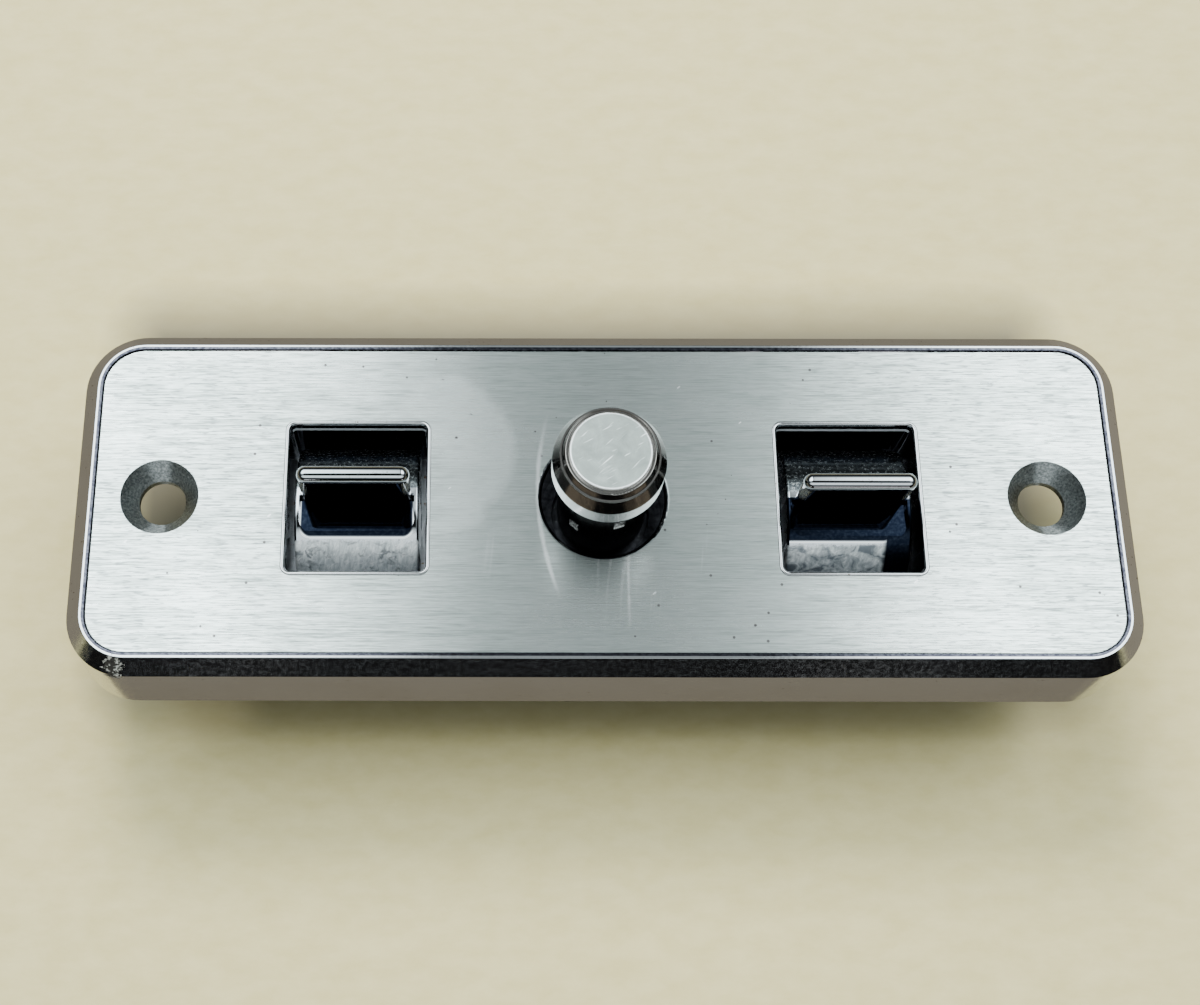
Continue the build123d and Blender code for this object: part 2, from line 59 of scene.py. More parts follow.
# ------------------------------------------------------------------ places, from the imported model
FACE = 4.6 * MM                                   # brushed face
SCREW_X = frame["record"]["mounts"][0]["dims"]["spacing_x_mm"] / 2 * MM
SWITCH_X = (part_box("right_rocker")[0].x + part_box("right_rocker")[1].x) / 2
AXIS_Z = [j for j in frame["joints"] if j["name"] == "right_rocker_tilt"][0]["pos_m"][2]
FLOOR_Z = CAD_BOX[0].z
WELL_R = 11.0 * MM                                # the lighter's well in the plate
SCREW_HOLE_R = 8.9 * MM
WINDOW_HALF_X = 12.05 * MM                        # a rocker's window
WINDOW_HALF_Y = 13.5 * MM
DRUM_R = 13.05 * MM                               # a rocker's drum
DISC_R = 6.3 * MM                                 # the satin disc, to its bright rim

# colours that several materials use
WHITE = (1.0, 1.0, 1.0)
STEEL_DARK, STEEL_PALE = (0.40, 0.40, 0.41), (0.66, 0.66, 0.68)


# ------------------------------------------------------------------ node helpers
class Nodes:
    """A node tree, with thin wrappers that make a node, fill its inputs and return its output."""

    def __init__(self, tree):
        self.tree = tree
        tree.nodes.clear()

    def put(self, value, socket):
        if isinstance(value, bpy.types.NodeSocket):
            self.tree.links.new(value, socket)
        else:
            socket.default_value = value

    def math(self, operation, *values):
        n = self.tree.nodes.new("ShaderNodeMath")
        n.operation = operation
        for value, socket in zip(values, n.inputs):
            self.put(value, socket)
        return n.outputs[0]

    def plus(self, first, *others):
        for other in others:
            first = self.math("ADD", first, other)
        return first

    def times(self, first, *others):
        for other in others:
            first = self.math("MULTIPLY", first, other)
        return first

    def minus(self, a, b):
        return self.math("SUBTRACT", a, b)

    def opposite(self, a):
        return self.math("SUBTRACT", 1.0, a)

    def less(self, a, limit):
        return self.math("LESS_THAN", a, limit)

    def more(self, a, limit):
        return self.math("GREATER_THAN", a, limit)

    def near(self, a, target, tolerance):
        return self.math("COMPARE", a, target, tolerance)

    def larger(self, a, b):
        return self.math("MAXIMUM", a, b)

    def smaller(self, a, b):
        return self.math("MINIMUM", a, b)

    def magnitude(self, a):
        return self.math("ABSOLUTE", a)

    def away(self, a, centre):
        return self.magnitude(self.minus(a, centre))

    def excess(self, a, limit):
        """How far a is past the limit, or 0."""
        return self.larger(self.minus(a, limit), 0.0)

    def length(self, a, b):
        return self.math("SQRT", self.plus(self.times(a, a), self.times(b, b)))

    def split(self, vector):
        n = self.tree.nodes.new("ShaderNodeSeparateXYZ")
        self.put(vector, n.inputs[0])
        return n.outputs[0], n.outputs[1], n.outputs[2]

    def join(self, x, y, z):
        n = self.tree.nodes.new("ShaderNodeCombineXYZ")
        for value, socket in zip((x, y, z), n.inputs):
            self.put(value, socket)
        return n.outputs[0]

    def span(self, value, low, high, a=0.0, b=1.0):
        """value from low..high to a..b, clamped."""
        n = self.tree.nodes.new("ShaderNodeMapRange")
        for v, socket in zip((value, low, high, a, b), n.inputs):
            self.put(v, socket)
        return n.outputs[0]


class Mat(Nodes):
    """A node material on the Principled shader."""

    def __init__(self, name):
        self.mat = bpy.data.materials.new(name)
        self.mat.use_nodes = True
        super().__init__(self.mat.node_tree)
        out = self.tree.nodes.new("ShaderNodeOutputMaterial")
        self.shader = self.tree.nodes.new("ShaderNodeBsdfPrincipled")
        self.tree.links.new(self.shader.outputs[0], out.inputs[0])
        coord = self.tree.nodes.new("ShaderNodeTexCoord")
        self.object = coord.outputs["Object"]
        self.normal = coord.outputs["Normal"]

    def mapping(self, vector, socket, value):
        n = self.tree.nodes.new("ShaderNodeMapping")
        self.put(vector, n.inputs["Vector"])
        n.inputs[socket].default_value = value
        return n.outputs[0]

    def scaled(self, scale, turn=(0, 0, 0)):
        """The piece's own coordinates, turned first and then scaled."""
        vector = self.object
        if any(turn):
            vector = self.mapping(vector, "Rotation", turn)
        return self.mapping(vector, "Scale", scale)

    def noise(self, vector, scale, detail=2.0, rough=0.5, distort=0.0):
        n = self.tree.nodes.new("ShaderNodeTexNoise")
        self.put(vector, n.inputs["Vector"])
        n.inputs["Scale"].default_value = scale
        n.inputs["Detail"].default_value = detail
        n.inputs["Roughness"].default_value = rough
        n.inputs["Distortion"].default_value = distort
        return n.outputs[0]

    def cells(self, vector, scale):
        """Distance to the nearest of scattered points."""
        n = self.tree.nodes.new("ShaderNodeTexVoronoi")
        self.put(vector, n.inputs["Vector"])
        n.inputs["Scale"].default_value = scale
        return n.outputs["Distance"]

    def ramp(self, value, *stops):
        n = self.tree.nodes.new("ShaderNodeValToRGB")
        self.put(value, n.inputs[0])
        while len(n.color_ramp.elements) < len(stops):
            n.color_ramp.elements.new(0.5)
        for element, (place, colour) in zip(n.color_ramp.elements, stops):
            element.position = place
            element.color = (*colour, 1)
        return n.outputs[0]

    def choose(self, kind, factor, a, b):
        n = self.tree.nodes.new("ShaderNodeMix")
        n.data_type = kind
        inputs = [s for s in n.inputs if s.enabled]
        for value, socket in zip((factor, a, b), inputs):
            self.put((*value, 1) if isinstance(value, tuple) else value, socket)
        return [s for s in n.outputs if s.enabled][0]

    def mix(self, factor, a, b):
        """Colour a where factor is 0, colour b where it is 1."""
        return self.choose("RGBA", factor, a, b)

    def blend(self, factor, a, b):
        """The same for plain values."""
        return self.choose("FLOAT", factor, a, b)

    def bump(self, height, strength, distance):
        n = self.tree.nodes.new("ShaderNodeBump")
        self.put(height, n.inputs["Height"])
        n.inputs["Strength"].default_value = strength
        n.inputs["Distance"].default_value = distance
        return n.outputs[0]

    def set(self, **sockets):
        for name, value in sockets.items():
            self.put(value, self.shader.inputs[name.replace("_", " ")])
        return self.mat


# ------------------------------------------------------------------ bezel: the brushed face
def brushing(m):
    """Hairlines along the plate: long ones, fine ones and broad bands together."""
    long_lines = m.noise(m.scaled((90, 3600, 1)), 1.0, 3.0, 0.65)
    fine_lines = m.noise(m.scaled((260, 9000, 1)), 1.0, 2.0, 0.6)
    broad = m.noise(m.scaled((9, 600, 1)), 1.0, 2.0, 0.5)
    return m.plus(m.times(long_lines, 0.45), m.times(fine_lines, 0.40), m.times(broad, 0.15))


def short_dashes(m, x):
    """Short dark lines, most of them toward the plate's ends."""
    dashes = m.noise(m.scaled((300, 2900, 1)), 1.0, 2.0, 0.7, 0.15)
    ends = m.span(m.away(x, -4 * MM), 34 * MM, 58 * MM)
    return m.times(m.span(dashes, 0.54, 0.63), m.span(ends, 0, 1, 0.25, 1.0))


def flecks(m, cells, reach, patch_scale, patch_from):
    """Small round marks round scattered points, only in some patches."""
    return m.times(m.less(cells, reach), m.more(m.noise(m.object, patch_scale, 1), patch_from))


def drag_marks(m, y, r_mid):
    """Finger marks dragged down from the well."""
    drag = m.noise(m.scaled((620, 38, 1), turn=(0, 0, 0.10)), 1.0, 2.0, 0.6)
    zone = m.times(m.span(r_mid, WELL_R, 26 * MM, 1.0, 0.0), m.span(y, -4 * MM, -9 * MM))
    return m.times(m.span(drag, 0.60, 0.70), zone)


def wiped_patch(m, x, y):
    """A cleaner patch left of the well, with an uneven edge."""
    from_x = m.plus(x, 31 * MM)
    from_y = m.minus(y, 8 * MM)
    uneven = m.times(m.noise(m.object, 130, 4.0, 0.65), 6.0 * MM)
    reach = m.plus(m.length(from_x, from_y), uneven)
    return m.times(m.span(reach, 17.6 * MM, 19.4 * MM, 1.0, 0.0), m.span(from_x, -4 * MM, 6 * MM))


def painted_highlight_streaks(m, x, y):
    """Two thin painted highlight streaks, one bent round the left of the well and one below it."""
    ripple = m.times(m.noise(m.object, 500, 3.0, 0.6), 0.5 * MM)
    rise = m.minus(y, 1.5 * MM)
    bend = m.plus(m.times(rise, rise, 9.5), -11.2 * MM)
    off_left = m.plus(m.magnitude(m.minus(x, bend)), ripple)
    beside = m.times(m.span(y, -18 * MM, -14 * MM), m.span(y, 16 * MM, 6 * MM))
    left = m.times(m.span(off_left, 0.30 * MM, 0.75 * MM, 1.0, 0.0), beside)
    off_right = m.plus(m.away(x, 4.0 * MM), ripple)
    below = m.times(m.span(y, -24 * MM, -18 * MM), m.span(y, -10 * MM, -11 * MM))
    right = m.times(m.span(off_right, 0.25 * MM, 0.6 * MM, 1.0, 0.0), below)
    return m.larger(left, right)


def face_tone(m, x, y, r_mid, lines, dashes, pits, rub, patches):
    """Colour of the brushed face and its marks, with painted shade darkening its centre so the ends read bright,
    and painted highlight streaks.
    """
    shaded_centre = m.span(m.away(x, 4 * MM), 24 * MM, 56 * MM, 1.0, 0.0)
    wiped = m.times(wiped_patch(m, x, y), m.span(patches, 0.35, 0.60, 0.16, 0.42))
    nicks = flecks(m, m.cells(m.scaled((300, 120, 120), turn=(0, 0, 0.9)), 1.0), 0.05, 45, 0.53)
    tone = m.ramp(lines, (0.40, (0.34, 0.385, 0.37)), (0.49, (0.70, 0.765, 0.74)), (0.57, (0.94, 1.0, 0.98)))
    # painted shade: the face's centre darkened toward a dull grey
    tone = m.mix(m.times(shaded_centre, 0.66), tone, (0.29, 0.315, 0.305))
    tone = m.mix(wiped, tone, (0.93, 0.97, 0.95))
    tone = m.mix(m.times(dashes, 0.80), tone, (0.25, 0.275, 0.28))
    tone = m.mix(m.times(rub, 0.16), tone, (0.93, 0.94, 0.94))
    tone = m.mix(pits, tone, (0.16, 0.15, 0.15))
    tone = m.mix(nicks, tone, WHITE)
    tone = m.mix(m.times(drag_marks(m, y, r_mid), 0.5), tone, WHITE)
    # painted highlights: the two thin streaks, in white
    return m.mix(m.times(painted_highlight_streaks(m, x, y), 0.75), tone, WHITE)


# ------------------------------------------------------------------ bezel: the chrome round it
def chip_mask(m, x, y, z, flaws, face):
    """One corner of the rim, chipped through to dark metal."""
    from_chip = m.length(m.minus(x, -82.2 * MM), m.minus(y, -29.9 * MM))
    ragged = m.plus(from_chip, m.times(flaws, 4.2 * MM))
    on_rim = m.times(m.less(ragged, 3.7 * MM), m.opposite(face))
    return m.times(on_rim, m.more(z, FACE - 3.6 * MM))


def raised_line(m, x, y, z):
    """The raised line round the face: a band at one distance from the plate's core, above the face."""
    inset = 11.32 * MM
    past_x = m.excess(m.magnitude(x), CAD_BOX[1].x - inset)
    past_y = m.excess(m.magnitude(y), CAD_BOX[1].y - inset)
    band = m.near(m.length(past_x, past_y), 7.12 * MM, 0.5 * MM)
    return m.times(m.more(z, FACE + 0.15 * MM), band)


def window_wall(m, x, y, z):
    """The walls of the two rocker windows."""
    across = m.away(m.magnitude(x), SWITCH_X)
    inside = m.times(m.less(across, WINDOW_HALF_X), m.less(z, FACE - 0.25 * MM))
    return m.times(inside, m.less(m.magnitude(y), WINDOW_HALF_Y))


def chrome_tone(m, places, r_mid, speck, walls, glint, chip, flaws):
    """Colour of the plate's chrome: faint pitting, a warm tarnish and one chip, with painted shade and reflection:
    walls darker and warmer low down, a near-black well, near-black window walls with a painted highlight on their
    far line, and a dark raised line.
    """
    x, y, z = places
    tarnish = m.span(m.noise(m.object, 70, 3.0, 0.6), 0.45, 0.75)
    low_wall_floor_reflection = m.span(z, 1.0 * MM, -10 * MM)
    well = m.times(m.less(r_mid, WELL_R), m.less(z, FACE - 0.45 * MM))
    chrome = m.mix(m.times(tarnish, 0.3), (0.52, 0.525, 0.54), (0.40, 0.37, 0.34))
    # painted reflection: the walls darker and warmer toward their foot, for the dim tan floor they reflect
    chrome = m.mix(m.times(low_wall_floor_reflection, 0.3), chrome, (0.42, 0.39, 0.33))
    chrome = m.mix(m.span(speck, 0.66, 0.72), chrome, (0.25, 0.22, 0.20))
    # painted shade: the well round the lighter near-black
    chrome = m.mix(well, chrome, (0.02, 0.02, 0.022))
    # painted reflection: the window walls near-black navy
    chrome = m.mix(walls, chrome, m.ramp(speck, (0.4, (0.035, 0.045, 0.07)), (0.7, (0.10, 0.11, 0.14))))
    chrome = m.mix(glint, chrome, (0.95, 0.97, 1.0))
    chrome = m.mix(chip, chrome, m.ramp(flaws, (0.40, (0.55, 0.53, 0.48)), (0.50, (0.05, 0.045, 0.04))))
    # painted shade: the raised line round the face near-black
    edge = m.ramp(speck, (0.40, (0.030, 0.030, 0.042)), (0.62, (0.09, 0.09, 0.11)))
    return m.mix(raised_line(m, x, y, z), chrome, edge)


def bezel_material():
    """The plate: brushed face, chromed edges and walls, raw casting in the screw holes."""
    m = Mat("bezel_chrome")
    x, y, z = m.split(m.object)
    face = m.times(m.more(m.split(m.normal)[2], 0.97), m.near(z, FACE, 0.12 * MM))
    r_screw = m.length(m.minus(m.magnitude(x), SCREW_X), y)
    r_mid = m.length(x, y)
    cast = m.times(m.less(r_screw, SCREW_HOLE_R), m.less(z, FACE - 0.04 * MM))

    lines = brushing(m)
    dashes = short_dashes(m, x)
    pits = flecks(m, m.cells(m.object, 300), 0.075, 60, 0.52)
    patches = m.noise(m.scaled((26, 40, 1), turn=(0, 0, 0.35)), 1.0, 3.0, 0.55, 0.6)
    rub = m.span(patches, 0.46, 0.60)
    tone = face_tone(m, x, y, r_mid, lines, dashes, pits, rub, patches)

    speck = m.noise(m.object, 1400, 3.0, 0.6)
    flaws = m.noise(m.object, 1100, 3.0, 0.7)
    walls = window_wall(m, x, y, z)
    far_line = m.times(m.near(z, FACE - 1.9 * MM, 0.45 * MM), m.more(y, 13.0 * MM))
    glint = m.times(far_line, walls)
    chip = chip_mask(m, x, y, z, flaws, face)
    chrome = chrome_tone(m, (x, y, z), r_mid, speck, walls, glint, chip, flaws)

    grain = m.noise(m.object, 2400, 4.0, 0.65)
    zinc = m.ramp(grain, (0.32, (0.16, 0.17, 0.17)), (0.52, (0.34, 0.355, 0.355)), (0.72, (0.62, 0.63, 0.63)))
    colour = m.mix(cast, m.mix(face, chrome, tone), zinc)

    rough_face = m.minus(m.span(lines, 0.3, 0.7, 0.40, 0.26), m.times(rub, 0.05))
    rough = m.blend(face, m.span(speck, 0.35, 0.75, 0.07, 0.16), rough_face)
    rough = m.blend(cast, rough, 0.55)
    rough = m.blend(chip, rough, 0.6)

    height = m.minus(m.times(lines, face), m.times(dashes, m.times(face, 0.4)))
    height = m.minus(height, m.times(pits, 1.2))
    height = m.plus(height, m.times(grain, cast, 3.0), m.times(m.opposite(face), m.times(speck, 0.25)))
    tangent = m.tree.nodes.new("ShaderNodeTangent")
    tangent.direction_type = "RADIAL"
    tangent.axis = "X"
    return m.set(Base_Color=colour, Metallic=m.opposite(m.times(glint, 0.9)), Roughness=rough,
                 Anisotropic=0.85, Tangent=tangent.outputs[0], Normal=m.bump(height, 0.5, 0.02 * MM))


# ------------------------------------------------------------------ rockers
def drum_place(m, y, z, lean):
    """Where a point is along the drum's flat, and whether it is on the drum, however the rocker leans."""
    up = m.minus(z, AXIS_Z)
    c, s = math.cos(math.radians(lean)), math.sin(math.radians(lean))
    along = m.plus(m.times(y, c), m.times(up, s))
    above = m.minus(m.times(up, c), m.times(y, s))
    return along, m.less(m.length(along, above), DRUM_R)


def flat_distance(m, across, along):
    """Distance from the core of the flat before the fin, which has round near corners."""
    return m.length(m.excess(across, 7.9 * MM), m.excess(m.times(along, -1.0), 5.1 * MM))


def worn_tone(m, scuff, blotch, grime):
    """Colour of the near side, rubbed by fingers, and dirty by the share that grime gives."""
    cross = m.noise(m.scaled((500, 1900, 900), turn=(0, 0, -0.6)), 1.0, 3.0, 0.7, 0.3)
    tone = m.ramp(scuff, (0.32, (0.46, 0.49, 0.50)), (0.48, (0.66, 0.69, 0.70)), (0.66, (0.95, 0.97, 0.97)))
    tone = m.mix(m.times(m.span(cross, 0.56, 0.66), 0.7), tone, WHITE)
    tone = m.mix(m.times(m.span(blotch, 0.54, 0.64), 0.8), tone, (0.16, 0.17, 0.18))
    return m.mix(m.times(m.span(blotch, 0.40, 0.58), grime), tone, (0.10, 0.12, 0.15))


def polished_tone(m, mottle, behind):
    """Colour of the plating away from the fingers, with painted shade behind the fin."""
    polished = m.mix(m.span(mottle, 0.60, 0.72), (0.56, 0.57, 0.60), (0.26, 0.26, 0.27))
    # painted shade: mottled dark behind the fin
    shaded_behind_fin = m.ramp(mottle, (0.38, (0.10, 0.11, 0.12)), (0.56, (0.20, 0.22, 0.23)),
                    (0.70, (0.62, 0.64, 0.64)))
    return m.mix(behind, polished, shaded_behind_fin)


def fin_sides(m, x, z, centre, drum):
    """The beads down the fin's two sides, which get a painted highlight and less mirror."""
    beside = m.times(m.span(m.away(x, centre), 7.9 * MM, 8.5 * MM), m.opposite(drum))
    above_foot = m.span(z, FACE + 2.4 * MM, FACE + 5.0 * MM)
    return m.times(beside, above_foot, m.span(z, FACE + 9.0 * MM, FACE + 8.0 * MM))


def rocker_material(side, lean, centre, grime, painted_dark_shift, shaded_end):
    """Chrome, with the near side of the drum rubbed rough by fingers and the rest pitted, partly in painted shade
    and reflection: dark behind the fin, near-black on the flat before it and one end, with painted highlights on
    the flat's edge and the fin's side beads.
    """
    m = Mat("rocker_chrome_" + side)
    x, y, z = m.split(m.object)
    along, drum = drum_place(m, y, z, lean)
    edge = m.times(m.noise(m.object, 700, 3.0, 0.6), 1.6 * MM)
    worn = m.times(m.span(m.plus(along, edge), -6.5 * MM, -6.9 * MM), drum)
    behind = m.times(drum, m.span(along, 1.2 * MM, 1.6 * MM))
    scuff = m.noise(m.scaled((1500, 300, 600), turn=(0, 0, 0.25)), 1.0, 4.0, 0.7, 0.4)
    mottle = m.noise(m.object, 1700, 4.0, 0.65)
    blotch = m.noise(m.scaled((380, 520, 520)), 1.0, 3.0, 0.6, 0.6)
    colour = m.mix(worn, polished_tone(m, mottle, behind), worn_tone(m, scuff, blotch, grime))

    # painted reflection and shade: the flat before the fin, and the shaded end of the drum, are painted near-black
    # for the fin and wall they reflect
    from_flat = flat_distance(m, m.away(x, centre + painted_dark_shift), along)
    painted_dark = m.times(m.span(from_flat, 1.95 * MM, 1.6 * MM), m.less(z, FACE + 2.0 * MM))
    painted_dark = m.times(painted_dark, m.less(along, 0.4 * MM))
    shaded = m.times(m.span(m.minus(x, centre), shaded_end, shaded_end + 0.8 * MM), drum)
    painted_dark = m.larger(painted_dark, m.times(shaded, m.span(along, 1.0 * MM, 0.0)))
    dark_reflection_tone = m.ramp(mottle, (0.45, (0.004, 0.006, 0.012)), (0.75, (0.014, 0.018, 0.028)))
    colour = m.mix(painted_dark, colour, dark_reflection_tone)
    # painted highlight: a bright line where the flat meets the worn metal
    painted_highlight_edge = m.times(m.span(from_flat, 1.75 * MM, 1.85 * MM), m.span(from_flat, 2.15 * MM, 1.95 * MM))
    painted_highlight_edge = m.times(painted_highlight_edge, drum, m.span(along, -5.5 * MM, -6.5 * MM))
    colour = m.mix(m.times(painted_highlight_edge, m.opposite(painted_dark)), colour, WHITE)
    beads = fin_sides(m, x, z, centre, drum)
    # painted highlight: the fin's side beads near-white
    colour = m.mix(beads, colour, m.ramp(mottle, (0.40, (0.78, 0.80, 0.80)), (0.60, (0.96, 0.97, 0.97))))

    mirror = m.opposite(m.times(worn, m.opposite(painted_dark)))
    mirror = m.smaller(m.plus(m.times(mirror, 0.5), 0.5), m.span(beads, 0, 1, 1.0, 0.75))
    rough_behind = m.blend(behind, 0.05, m.span(mottle, 0.3, 0.7, 0.12, 0.32))
    rough = m.blend(worn, rough_behind, m.span(scuff, 0.3, 0.7, 0.34, 0.55))
    height = m.plus(m.times(scuff, worn), m.times(mottle, m.plus(behind, m.times(worn, 0.6))))
    return m.set(Base_Color=colour, Metallic=mirror, Roughness=rough, Normal=m.bump(height, 0.5, 0.03 * MM))


# ------------------------------------------------------------------ simple metals and mouldings
def metal(name, low, high, rough, scale=900.0, depth=0.4, streak=(1, 1, 1), spots=None):
    """Bare or plated metal: two tones in a fine grain, with an optional colour for spots."""
    m = Mat(name)
    grain = m.noise(m.scaled(tuple(scale * s for s in streak)), 1.0, 4.0, 0.62)
    cloud = m.noise(m.object, scale * 0.12, 3.0, 0.55)
    mixed = m.plus(m.times(grain, 0.6), m.times(cloud, 0.4))
    colour = m.ramp(mixed, (0.36, low), (0.62, high))
    if spots:
        colour = m.mix(m.span(m.noise(m.object, scale * 1.7, 2.0), 0.66, 0.72), colour, spots)
    return m.set(Base_Color=colour, Metallic=1.0, Roughness=m.span(mixed, 0.35, 0.65, rough[0], rough[1]),
                 Normal=m.bump(grain, depth, 0.02 * MM))


def moulding(name, low, high, rough, scale):
    """Moulded phenolic or fired ceramic: two tones in a grain and a slow flow."""
    m = Mat(name)
    grain = m.noise(m.object, scale, 4.0, 0.6)
    flow = m.noise(m.scaled((90, 140, 260), turn=(0.3, 0.2, 0.5)), 1.0, 3.0, 0.6, 1.2)
    mixed = m.plus(m.times(grain, 0.45), m.times(flow, 0.55))
    colour = m.ramp(mixed, (0.36, low), (0.64, high))
    return m.set(Base_Color=colour, Metallic=0.0, Roughness=m.span(mixed, 0.35, 0.65, rough[0], rough[1]),
                 Normal=m.bump(grain, 0.3, 0.03 * MM))


def knob_chrome():
    """Turned chrome, scuffed, with a painted reflection of dark warm grey on the cone under the inlay."""
    m = Mat("knob_chrome")
    z = m.split(m.object)[2]
    turning = m.noise(m.scaled((1, 1, 9000)), 1.0, 2.0, 0.6)
    scuff = m.noise(m.scaled((900, 900, 260), turn=(0.5, 0.2, 0)), 1.0, 4.0, 0.7)
    speck = m.noise(m.object, 2600, 2.0)
    colour = m.mix(m.span(scuff, 0.55, 0.75), (0.66, 0.65, 0.65), (0.46, 0.44, 0.42))
    colour = m.mix(m.span(speck, 0.70, 0.75), colour, (0.2, 0.19, 0.18))
    cone = m.span(z, FACE + 17.0 * MM, FACE + 17.5 * MM)
    # painted reflection: the cone under the inlay dark warm grey
    cone_reflection_tone = m.mix(m.span(scuff, 0.45, 0.7), (0.24, 0.222, 0.21), (0.17, 0.157, 0.152))
    return m.set(Base_Color=m.mix(cone, colour, cone_reflection_tone), Metallic=1.0,
                 Roughness=m.span(scuff, 0.4, 0.75, 0.06, 0.20), Normal=m.bump(turning, 0.12, 0.01 * MM))


def disc_satin():
    """Spun aluminium: fine rings, scratches across them, and a painted highlight round the rim."""
    m = Mat("knob_disc_satin")
    x, y, _ = m.split(m.object)
    r = m.length(x, y)
    rings = m.noise(m.join(m.times(r, 9000), 0.0, 0.0), 1.0, 3.0, 0.6)
    grain = m.noise(m.object, 2600, 3.0, 0.6)
    cloud = m.noise(m.object, 260, 3.0, 0.6, 0.4)
    cut = m.noise(m.scaled((1900, 170, 1), turn=(0, 0, 0.8)), 1.0, 1.5, 0.5)
    cross = m.noise(m.scaled((230, 2100, 1), turn=(0, 0, -0.5)), 1.0, 1.5, 0.5)
    mixed = m.plus(m.times(rings, 0.35), m.times(cloud, 0.65))
    tone = m.ramp(mixed, (0.34, (0.24, 0.265, 0.25)), (0.52, (0.33, 0.36, 0.34)), (0.70, (0.46, 0.49, 0.47)))
    tone = m.mix(m.times(m.span(cut, 0.67, 0.73), 0.8), tone, (0.97, 0.98, 0.98))
    tone = m.mix(m.times(m.span(cross, 0.66, 0.72), 0.7), tone, (0.95, 0.96, 0.96))
    # painted highlight: a white ring at the disc's rim
    tone = m.mix(m.span(r, DISC_R, DISC_R + 0.2 * MM), tone, WHITE)
    height = m.plus(m.times(rings, 0.5), grain)
    return m.set(Base_Color=tone, Metallic=1.0, Roughness=m.span(grain, 0.3, 0.7, 0.34, 0.5),
                 Normal=m.bump(height, 0.25, 0.015 * MM))


def socket_steel():
    """Plated outside; near-black down the bore and over the ledge the well shows."""
    m = Mat("socket_steel")
    x, y, z = m.split(m.object)
    r = m.length(x, y)
    grain = m.noise(m.object, 900, 4.0, 0.6)
    ledge = m.times(m.less(r, 10.9 * MM), m.more(z, -4.3 * MM))
    dark_bore_and_ledge = m.larger(ledge, m.less(r, 8.85 * MM))
    plated = m.ramp(grain, (0.36, STEEL_DARK), (0.62, STEEL_PALE))
    near_black_tone = m.ramp(grain, (0.36, (0.008, 0.008, 0.010)), (0.70, (0.035, 0.035, 0.04)))
    return m.set(Base_Color=m.mix(dark_bore_and_ledge, plated, near_black_tone), Metallic=1.0, Roughness=m.blend(dark_bore_and_ledge, 0.36, 0.5),
                 Normal=m.bump(grain, 0.4, 0.02 * MM))


by_slot = {
    "stamped_steel": metal("stamped_steel", STEEL_DARK, STEEL_PALE, (0.28, 0.46), 700,
                           spots=(0.30, 0.22, 0.16)),
    "steel": metal("ground_steel", (0.45, 0.45, 0.46), (0.68, 0.68, 0.70), (0.20, 0.34), 2600, 0.3,
                   streak=(1, 0.15, 0.15)),
    "zinc_plated": metal("zinc_plate", (0.42, 0.43, 0.42), (0.68, 0.68, 0.66), (0.34, 0.52), 1100, 0.5,
                         spots=(0.75, 0.74, 0.70)),
    "spring_steel": metal("spring_wire", (0.16, 0.16, 0.17), (0.36, 0.36, 0.38), (0.26, 0.42), 3000),
    "contact_brass": metal("contact_brass", (0.42, 0.28, 0.12), (0.76, 0.56, 0.26), (0.26, 0.44), 800,
                           spots=(0.20, 0.13, 0.07)),
    "heater_alloy": metal("heater_ribbon", (0.12, 0.10, 0.09), (0.34, 0.29, 0.26), (0.40, 0.60), 2200, 0.6),
    # painted reflection: the knob's sleeve, taken for chrome, is coloured near-black for the dark it reflects
    "blackened_steel": metal("sleeve_dark_reflection", (0.006, 0.006, 0.007), (0.022, 0.022, 0.025), (0.14, 0.28),
                             1300, 0.3, streak=(1, 1, 0.2), spots=(0.06, 0.06, 0.06)),
    "phenolic": moulding("phenolic", (0.030, 0.014, 0.008), (0.085, 0.040, 0.022), (0.30, 0.46), 1200),
    "ceramic": moulding("ceramic", (0.56, 0.53, 0.46), (0.78, 0.75, 0.68), (0.55, 0.70), 2400),
    "satin_trim": disc_satin(),
    "chrome_plate": knob_chrome(),
}
own = {
    "bezel": bezel_material(),
    "socket_shell": socket_steel(),
    "left_rocker": rocker_material("left", lean=-1.5, centre=-SWITCH_X, grime=0.15,
                                   painted_dark_shift=0.0, shaded_end=12 * MM),
    "right_rocker": rocker_material("right", lean=1.5, centre=SWITCH_X, grime=0.62,
                                    painted_dark_shift=-2.2 * MM, shaded_end=5.6 * MM),
}
for part in frame["record"]["subparts"]:
    node = part["node"]
    mesh = NODES[node].data
    mesh.materials.clear()
    mesh.materials.append(own.get(node) or by_slot[part["material_slot"]])


# ------------------------------------------------------------------ bright lips in the sleeve's vents
SLOTS = 6
FIRST_SLOT = -43.0                                # degrees round the sleeve
HIGH_FOOT, LOW_FOOT = 4.6 * MM, -0.1 * MM         # a lip's foot above the face, in turn
LIP_HALF_WIDTH = 0.92 * MM
LIP_WALL = 0.2 * MM
LIP_PROFILE = ((7.62, 0.35), (7.45, 0.50), (6.65, 1.30), (6.50, 1.55), (6.50, 3.60))   # mm out, mm up
LIP_STRIPS = 4


def add_lip(bm, turn, foot):
    """One bent strip of faces, from the slot's lower edge inward and up."""
    rows = []
    for out, up in LIP_PROFILE:
        row = []
        for k in range(LIP_STRIPS + 1):
            x, y = LIP_HALF_WIDTH * (2 * k / LIP_STRIPS - 1), -out * MM
            row.append(bm.verts.new((x * math.cos(turn) - y * math.sin(turn),
                                     x * math.sin(turn) + y * math.cos(turn), foot + up * MM)))
        rows.append(row)
    for a, b in zip(rows, rows[1:]):
        for k in range(LIP_STRIPS):
            bm.faces.new((a[k], a[k + 1], b[k + 1], b[k]))


